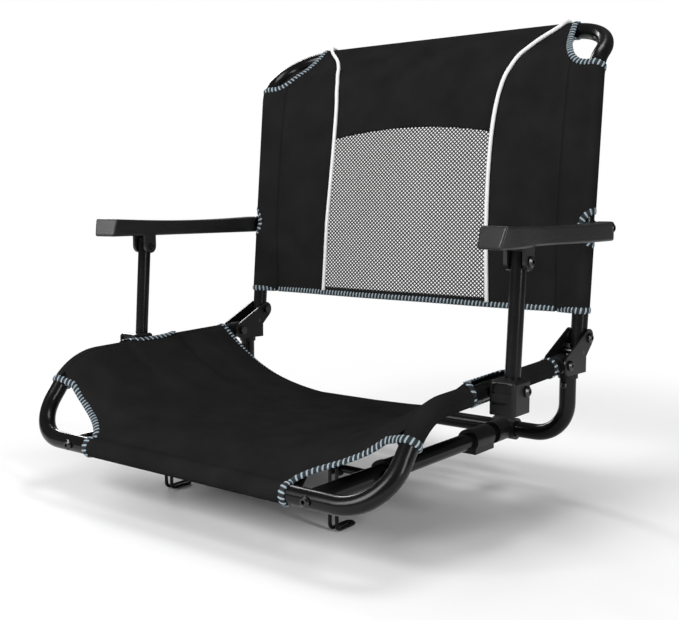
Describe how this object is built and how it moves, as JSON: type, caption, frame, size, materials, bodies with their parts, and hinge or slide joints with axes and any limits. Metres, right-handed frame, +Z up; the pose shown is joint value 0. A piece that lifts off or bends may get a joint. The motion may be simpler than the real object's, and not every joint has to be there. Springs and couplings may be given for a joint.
{
  "type": "stadium seat",
  "caption": "Low folding stadium seat: bent-tube frame, black sling seat, mesh-panel sling back, linked armrests that fold with the back, and wire hooks that hold a bench plank.",
  "frame": {"origin": "middle of the standing frame, on the plane of the bench top under the feet", "axes": "+Z up, -Y towards the front of the seat, +X to the right seen from the front"},
  "size_m": [0.5972, 0.5145, 0.5588],
  "materials": {
    "frame_paint": "satin black powder coat",
    "bracket_paint": "satin black powder coat on folded sheet",
    "moulded_black": "fine moulded texture",
    "armrest_black": "satin with a faint lengthwise grain",
    "bolt_steel": "blackened steel",
    "cloth_black": "woven polyester, matte",
    "mesh_black": "open diamond mesh",
    "piping_white": "smooth white piping",
    "edge_stripe": "whipped edge, grey-blue bars on navy"
  },
  "bodies": {
    "frame": {"back_pivot_bolts": "bolt_steel", "back_pivot_nuts": "bolt_steel", "back_pivot_washers": "moulded_black", "hook_rod": "bracket_paint", "hook_rod_nuts": "bolt_steel", "left_corner_connector": "moulded_black", "left_front_foot": "moulded_black", "left_hinge_bracket": "bracket_paint", "left_rear_foot": "moulded_black", "left_rear_saddle": "moulded_black", "left_runner": "frame_paint", "leg_screws": "bolt_steel", "leg_tube": "frame_paint", "post_pivot_bolts": "bolt_steel", "post_pivot_nuts": "bolt_steel", "post_pivot_washers": "moulded_black", "rail_bolts": "bolt_steel", "rail_nuts": "bolt_steel", "right_corner_connector": "moulded_black", "right_front_foot": "moulded_black", "right_hinge_bracket": "bracket_paint", "right_rear_foot": "moulded_black", "right_rear_saddle": "moulded_black", "right_runner": "frame_paint", "runner_front_bolts": "bolt_steel", "runner_front_plugs": "moulded_black", "seat_sling": "cloth_black", "seat_tube": "frame_paint", "stop_pins": "bolt_steel"},
    "backrest": {"armrest_bolts": "bolt_steel", "armrest_nuts": "bolt_steel", "armrest_spacers": "moulded_black", "back_hem": "edge_stripe", "back_mesh_panel": "mesh_black", "back_tube": "frame_paint", "back_tube_plugs": "moulded_black", "back_upper_panel": "cloth_black", "left_back_piping": "piping_white", "left_back_wing": "cloth_black", "right_back_piping": "piping_white", "right_back_wing": "cloth_black"},
    "left_armrest": {"left_armrest": "armrest_black", "left_knuckle_bolt": "bolt_steel", "left_knuckle_nut": "bolt_steel"},
    "left_post": {"left_post": "frame_paint", "left_post_cap": "moulded_black", "left_post_block": "moulded_black"},
    "left_hook": {"left_bench_hook": "bracket_paint"},
    "right_armrest": {"right_armrest": "armrest_black", "right_knuckle_bolt": "bolt_steel", "right_knuckle_nut": "bolt_steel"},
    "right_post": {"right_post": "frame_paint", "right_post_cap": "moulded_black", "right_post_block": "moulded_black"},
    "right_hook": {"right_bench_hook": "bracket_paint"}
  },
  "joints": [
    {"name": "back_fold", "type": "hinge", "parent": "frame", "child": "backrest", "pos_m": [0, 0.2115, 0.1285], "axis": [1, 0, 0], "range_deg": [0, 94]},
    {"name": "left_post_fold", "type": "hinge", "parent": "frame", "child": "left_post", "pos_m": [-0.276, 0.004, 0.09999], "axis": [1, 0, 0], "range_deg": [0, 94]},
    {"name": "left_armrest_fold", "type": "hinge", "parent": "backrest", "child": "left_armrest", "pos_m": [-0.276, 0.2205, 0.256], "axis": [1, 0, 0], "range_deg": [-94, 0]},
    {"name": "left_hook_swing", "type": "hinge", "parent": "frame", "child": "left_hook", "pos_m": [-0.1235, -0.084, 0.0145], "axis": [1, 0, 0], "range_deg": [-30, 95]},
    {"name": "right_post_fold", "type": "hinge", "parent": "frame", "child": "right_post", "pos_m": [0.276, 0.004, 0.09999], "axis": [1, 0, 0], "range_deg": [0, 94]},
    {"name": "right_armrest_fold", "type": "hinge", "parent": "backrest", "child": "right_armrest", "pos_m": [0.276, 0.2205, 0.256], "axis": [1, 0, 0], "range_deg": [-94, 0]},
    {"name": "right_hook_swing", "type": "hinge", "parent": "frame", "child": "right_hook", "pos_m": [0.1235, -0.084, 0.0145], "axis": [1, 0, 0], "range_deg": [-30, 95]}
  ],
  "couplings": [
    {"joint": "left_post_fold", "follows": "back_fold", "ratio": 1},
    {"joint": "left_armrest_fold", "follows": "back_fold", "ratio": -1},
    {"joint": "right_post_fold", "follows": "back_fold", "ratio": 1},
    {"joint": "right_armrest_fold", "follows": "back_fold", "ratio": -1}
  ]
}
